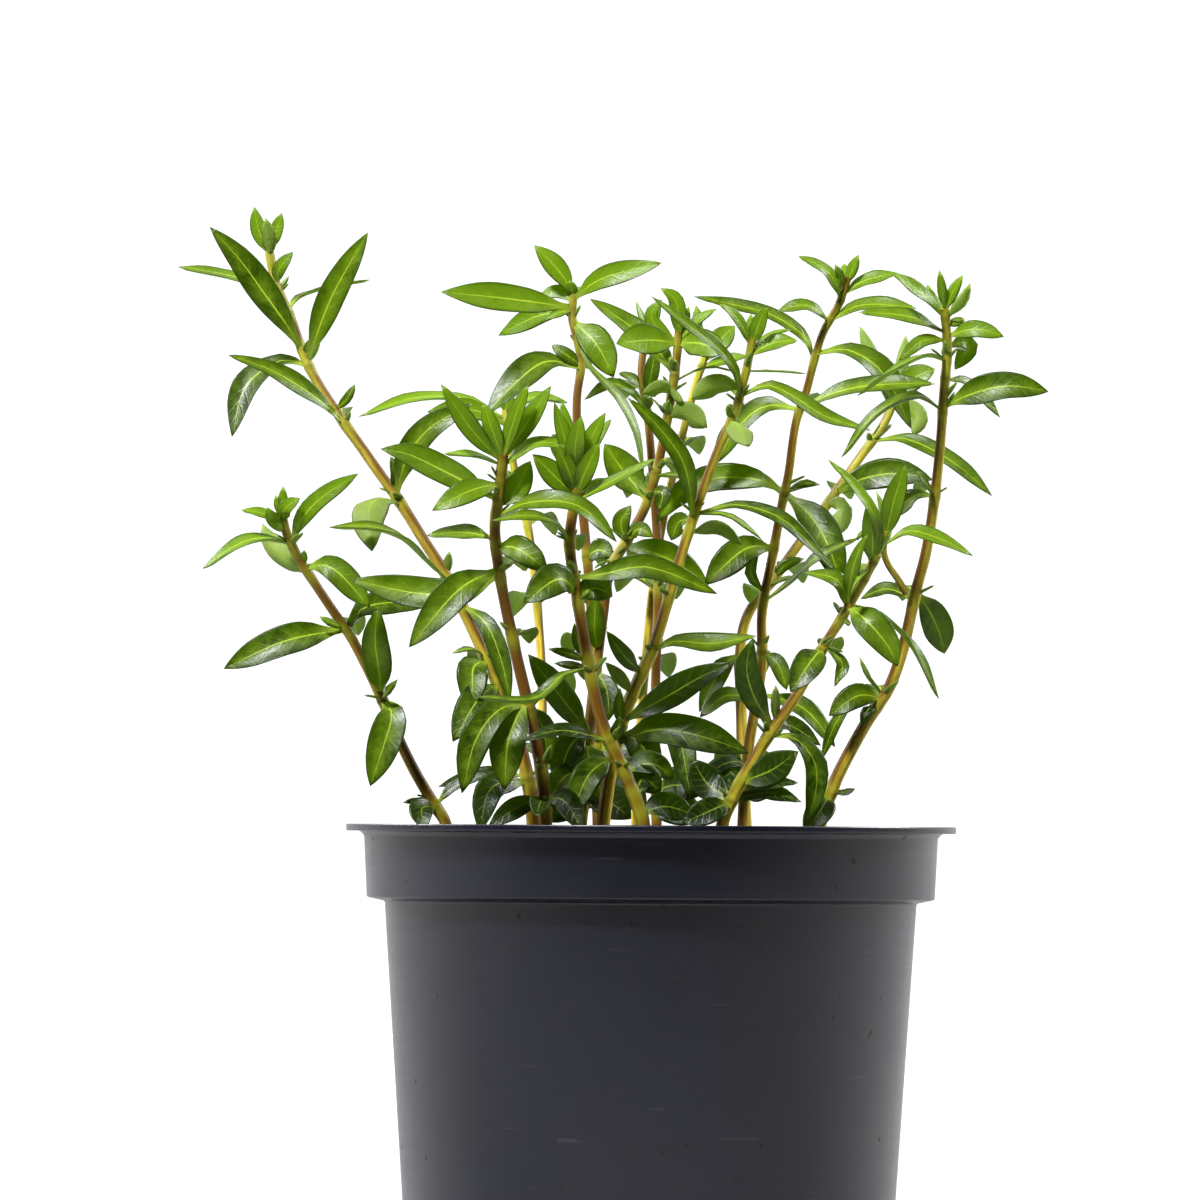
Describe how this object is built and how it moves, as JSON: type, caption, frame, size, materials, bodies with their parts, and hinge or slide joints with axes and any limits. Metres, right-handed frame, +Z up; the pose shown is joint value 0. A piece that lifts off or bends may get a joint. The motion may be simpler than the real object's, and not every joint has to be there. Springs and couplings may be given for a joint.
{
  "type": "potted needle leaf ludwigia",
  "caption": "Leafy aquarium stem plant with opposite lance-shaped leaves, rooted in a mineral wool plug in a dark plastic pot with a collar and a flat rim.",
  "frame": {"origin": "centre of the pot's flat underside", "axes": "+Z up along the pot's axis, -Y towards the viewer, +X to the viewer's right"},
  "size_m": [0.0874, 0.0621, 0.1122],
  "materials": {
    "pot_plastic": "satin moulded polypropylene",
    "mineral_wool": "matte fibres, damp",
    "stem": "smooth living stem, slightly waxy",
    "leaf": "smooth waxy leaf, lets light through"
  },
  "bodies": {
    "root": {"leaf_back_right_1": "leaf", "leaf_centre_leaning_1": "leaf", "leaf_centre_leaning_2": "leaf", "leaf_centre_leaning_3": "leaf", "leaf_centre_leaning_4": "leaf", "leaf_centre_leaning_5": "leaf", "leaf_centre_leaning_6": "leaf", "leaf_centre_tall_1": "leaf", "leaf_centre_tall_2": "leaf", "leaf_centre_tall_3": "leaf", "leaf_centre_tall_4": "leaf", "leaf_front_centre_1": "leaf", "leaf_front_centre_2": "leaf", "leaf_front_dark_1": "leaf", "leaf_front_dark_2": "leaf", "leaf_front_dark_3": "leaf", "leaf_front_dark_4": "leaf", "leaf_front_dark_5": "leaf", "leaf_front_right_1": "leaf", "leaf_front_right_2": "leaf", "leaf_front_right_3": "leaf", "leaf_front_right_4": "leaf", "leaf_left_low_1": "leaf", "leaf_left_low_2": "leaf", "leaf_left_low_3": "leaf", "leaf_left_low_4": "leaf", "leaf_left_tall_1": "leaf", "leaf_left_tall_2": "leaf", "leaf_left_tall_3": "leaf", "leaf_left_tall_4": "leaf", "leaf_left_tall_5": "leaf", "leaf_left_tall_6": "leaf", "leaf_middle_1": "leaf", "leaf_middle_2": "leaf", "leaf_middle_3": "leaf", "leaf_right_1": "leaf", "leaf_right_2": "leaf", "leaf_right_3": "leaf", "leaf_right_tall_1": "leaf", "leaf_right_tall_2": "leaf", "leaf_right_tall_3": "leaf", "leaf_right_tall_4": "leaf", "leaf_right_tall_5": "leaf", "mineral_wool": "mineral_wool", "pot": "pot_plastic", "stem_back_left": "stem", "stem_back_red": "stem", "stem_back_right": "stem", "stem_back_yellow": "stem", "stem_centre_leaning": "stem", "stem_centre_tall": "stem", "stem_front_centre": "stem", "stem_front_dark": "stem", "stem_front_right": "stem", "stem_left_low": "stem", "stem_left_tall": "stem", "stem_middle": "stem", "stem_right": "stem", "stem_right_side_shoot": "stem", "stem_right_tall": "stem"}
  },
  "joints": []
}
